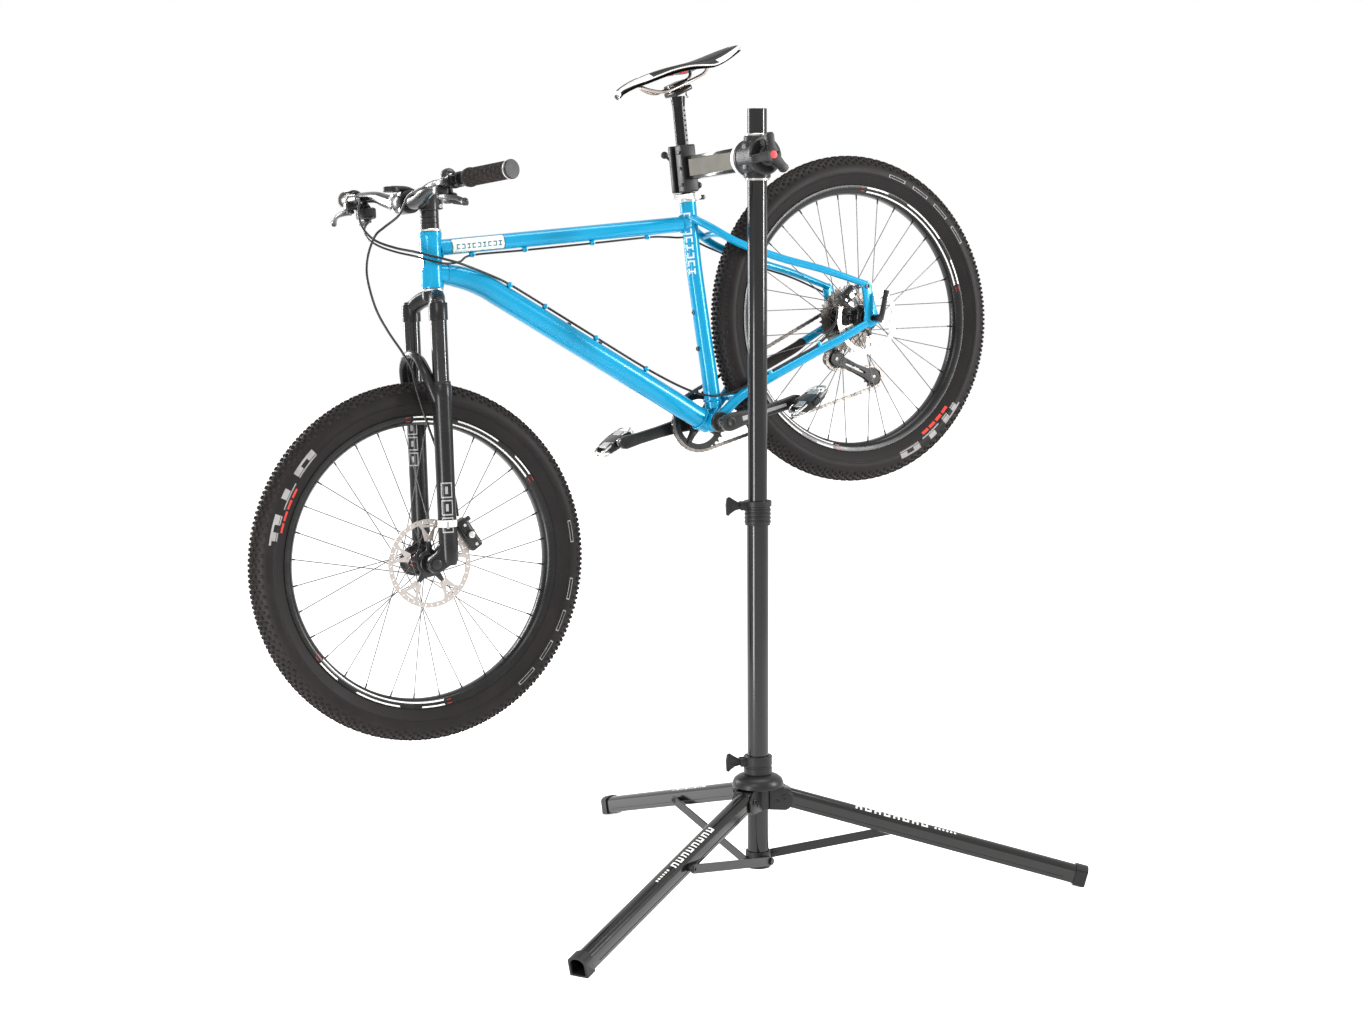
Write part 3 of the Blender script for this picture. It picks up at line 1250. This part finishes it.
def controls(steering):
    """Brake bodies and levers on both sides, the seat control on the left and the shifter on the right."""
    clamp_centre, outward = bar_point(BAR_HALF - CONTROL_Y)
    band = rod(clamp_centre - outward * 0.006, clamp_centre + outward * 0.006, 0.0165, sides=20)
    cylinder = rod(
        clamp_centre + Vector((-0.021, -0.004, -0.004)),
        clamp_centre + Vector((-0.028, 0.072, -0.006)),
        0.0095,
        sides=14,
    )
    reservoir = box(
        tuple(clamp_centre + Vector((-0.036, 0.000, -0.016))),
        tuple(clamp_centre + Vector((-0.012, 0.034, 0.002))),
        0.003,
    )
    perch = box(
        tuple(clamp_centre + Vector((-0.040, 0.018, -0.0240))),
        tuple(clamp_centre + Vector((-0.014, 0.042, -0.012))),
        0.002,
    )
    clear_bar = pipe(bar_route(), BAR_RADIUS + 0.0008, 4)
    body = cut(fuse(band, cylinder, reservoir, perch), copied(clear_bar))
    pivot = clamp_centre + Vector((-0.027, 0.030, -0.0302))
    lever_points = [
        pivot,
        pivot + Vector((-0.006, -0.022, -0.001)),
        pivot + Vector((-0.008, -0.046, -0.003)),
        pivot + Vector((-0.002, -0.080, -0.008)),
        pivot + Vector((0.002, -0.102, -0.015)),
    ]
    blade = pipe(lever_points, [0.0055, 0.0050, 0.0045, 0.0045, 0.0060], 2)
    boss = rod(pivot - Vector((0, 0, 0.0040)), pivot + Vector((0, 0, 0.0040)), 0.0075, sides=12)
    lever = fuse(blade, boss)
    flip = Vector((1, -1, 1))
    add("right_brake_lever", mirrored(lever), "silver", steering, pivot * flip)
    add("left_brake_lever", lever, "silver", steering, pivot)
    pod_centre = clamp_centre * flip + Vector((0.006, -0.040, -0.034))
    pod_low = pod_centre - Vector((0.020, 0.018, 0.012))
    pod = box(tuple(pod_low), tuple(pod_centre + Vector((0.014, 0.018, 0.012))), 0.004)
    hanger = rod(pod_centre, clamp_centre * flip + Vector((-0.016, -0.030, -0.006)), 0.006, sides=10)
    right_body = fuse(mirrored(body), pod, hanger)
    add("right_brake_body", cut(right_body, mirrored(clear_bar)), "black_plastic", steering)
    seat_lever = pipe(
        [
            clamp_centre + Vector((-0.004, 0.006, -0.014)),
            clamp_centre + Vector((0.004, 0.004, -0.030)),
            clamp_centre + Vector((0.020, -0.002, -0.040)),
            clamp_centre + Vector((0.030, -0.006, -0.042)),
        ],
        [0.0060, 0.0050, 0.0035, 0.0045],
        2,
    )
    add("left_brake_body", cut(fuse(body, seat_lever), clear_bar), "black_plastic", steering)
    shift_pivot = pod_centre - Vector((0, 0, 0.012 + GAP + 0.0035))
    boss_half = Vector((0, 0, 0.0035))
    shift_boss = rod(shift_pivot - boss_half, shift_pivot + boss_half, 0.008, sides=12)
    shift_arm = pipe(
        [
            shift_pivot,
            shift_pivot + Vector((0.008, 0.022, -0.002)),
            shift_pivot + Vector((0.006, 0.048, -0.003)),
        ],
        [0.0034, 0.0040, 0.0055],
        2,
    )
    add("shifter_lever", fuse(shift_boss, shift_arm), "black_plastic", steering, shift_pivot)


def hoses(bike, steering):
    """The two brake hoses and the shift cable, each on its real route."""
    front = [
        (-0.0790, -0.1790, 0.1890),
        (-0.0860, -0.1500, 0.1870),
        (-0.0880, -0.1000, 0.1780),
        (-0.0850, -0.0450, 0.1450),
        (-0.1060, -0.0180, 0.1225),
        (-0.1240, -0.0160, 0.1080),
        (-0.1380, -0.0160, 0.0820),
        (-0.1470, -0.0170, 0.0500),
        (-0.1470, -0.0190, 0.0150),
        (-0.1340, -0.0230, -0.0400),
        (-0.1120, -0.0270, -0.0850),
        (-0.0850, -0.0310, -0.1280),
        (-0.0690, -0.0370, -0.1640),
        (-0.0640, -0.0420, -0.2000),
        (-0.0500, -0.0425, -0.2500),
        (-0.0300, -0.0425, -0.3100),
        (-0.0080, -0.0430, -0.3700),
        (0.0080, -0.0460, -0.4200),
        (0.0120, -0.0490, -0.4610),
    ]
    route = smooth_route(front, HOSE_STEP)
    add_hose("front_brake_hose", route, steering)
    rear_start = [
        (-0.0790, 0.1790, 0.1890),
        (-0.0880, 0.1500, 0.1830),
        (-0.1060, 0.1150, 0.1600),
        (-0.1130, 0.0800, 0.1280),
        (-0.1020, 0.0450, 0.1000),
        (-0.0750, 0.0100, 0.0830),
        (-0.0450, -0.0190, 0.0730),
        (-0.0140, -0.0310, 0.0640),
        (0.0180, -0.0330, 0.0560),
        (0.0520, -0.0300, 0.0470),
    ]
    rear_frame = [
        (-0.3570, -0.0205, 0.5105),
        (-0.3180, -0.0150, 0.4700),
        (-0.2600, -0.0080, 0.3950),
        (-0.1800, -0.0080, 0.2855),
        (-0.1000, -0.0100, 0.1760),
        (-0.0420, -0.0200, 0.1030),
        (0.0000, -0.0290, 0.0640),
        (0.0400, -0.0320, 0.0460),
        (0.0750, -0.0430, 0.0430),
        (0.1060, -0.0540, 0.0458),
        (0.1500, -0.0590, 0.0480),
        (0.2200, -0.0610, 0.0485),
        (0.2900, -0.0630, 0.0500),
        (0.3440, -0.0640, 0.0700),
        (0.3690, -0.0640, 0.1000),
    ]
    rear = [from_front_end(point) for point in rear_start] + [Vector(point) for point in rear_frame]
    add_hose("rear_brake_hose", smooth_route(rear, HOSE_STEP), bike)
    shift_start = [
        (-0.0390, 0.1980, 0.1560),
        (-0.0600, 0.1700, 0.1460),
        (-0.0860, 0.1350, 0.1270),
        (-0.0960, 0.0950, 0.1060),
        (-0.0880, 0.0550, 0.0880),
        (-0.0680, 0.0150, 0.0740),
        (-0.0420, -0.0160, 0.0640),
        (-0.0130, -0.0290, 0.0540),
        (0.0200, -0.0290, 0.0480),
        (0.0540, -0.0200, 0.0520),
    ]
    shift_frame = [
        (-0.3640, -0.0060, 0.5560),
        (-0.2500, -0.0050, 0.5165),
        (-0.1000, -0.0050, 0.4655),
        (0.0300, 0.0020, 0.4220),
        (0.0800, 0.0200, 0.4020),
        (0.1100, 0.0300, 0.3880),
        (0.1500, 0.0500, 0.3700),
        (0.1960, 0.0630, 0.3270),
        (0.2790, 0.0690, 0.2520),
        (0.3640, 0.0790, 0.1850),
        (0.4180, 0.0870, 0.1350),
        (0.4600, 0.0930, 0.0900),
        (0.4780, 0.0950, 0.0500),
        (0.4680, 0.0930, 0.0230),
        (0.4535, 0.0900, 0.0150),
    ]
    shift = [from_front_end(point) for point in shift_start] + [Vector(point) for point in shift_frame]
    add_hose("shift_cable", smooth_route(shift, HOSE_STEP), bike, 0.0020)


def add_hose(name, route, parent, radius=HOSE_RADIUS):
    curve = route_curve(name, route, [radius] * len(route), 1)
    curve.materials.append(MATERIALS["hose"])
    hose = bpy.data.objects.new(name, curve)
    bpy.context.collection.objects.link(hose)
    hose.parent = parent


def stand():
    post()
    leg_collar()
    legs()
    strut_base()
    arm = empty("arm_axis", None, (0, 0, HEAD_HEIGHT), (radians(-ARM_TILT), 0, 0))
    head(arm)
    clamp(arm)
    return arm


def bicycle(arm):
    bike = empty("bicycle", arm, bicycle_place(), (0, radians(-BIKE_PITCH), 0))
    steering = empty("steering", bike, at(HEAD_LOW), (0, radians(90 - HEAD_ANGLE), 0))
    bicycle_frame(bike)
    front_axle = (-FORK_OFFSET, -FORK_LENGTH)
    wheel("rear", bike, REAR_AXLE, REAR_HUB_HALF, (-0.0350, 0.0100), REAR_ROTOR_Y, REAR_ROTOR_RADIUS)
    wheel("front", steering, front_axle, FRONT_HUB_HALF, (-0.0280, 0.0360), FRONT_ROTOR_Y, FRONT_ROTOR_RADIUS)
    cassette(bike)
    cranks(bike)
    pedals(bike)
    derailleur(bike)
    add("chain", pipe(chain_loop(), CHAIN_RADIUS, 1, closed=True), "silver", bike)
    saddle(bike)
    fork(steering)
    cockpit(steering)
    front_disc = (FRONT_ROTOR_Y, FRONT_ROTOR_RADIUS)
    caliper("front_caliper", steering, front_axle, *front_disc, radians(58), (-0.034, 0.086), (0.034, 0.114))
    rear_disc = (REAR_ROTOR_Y, REAR_ROTOR_RADIUS)
    caliper("rear_caliper", bike, REAR_AXLE, *rear_disc, radians(-16), (-0.036, 0.062), (0.014, 0.0875))
    hoses(bike, steering)


clear_scene()
MATERIALS = make_materials()
bicycle(stand())
bpy.context.view_layer.update()
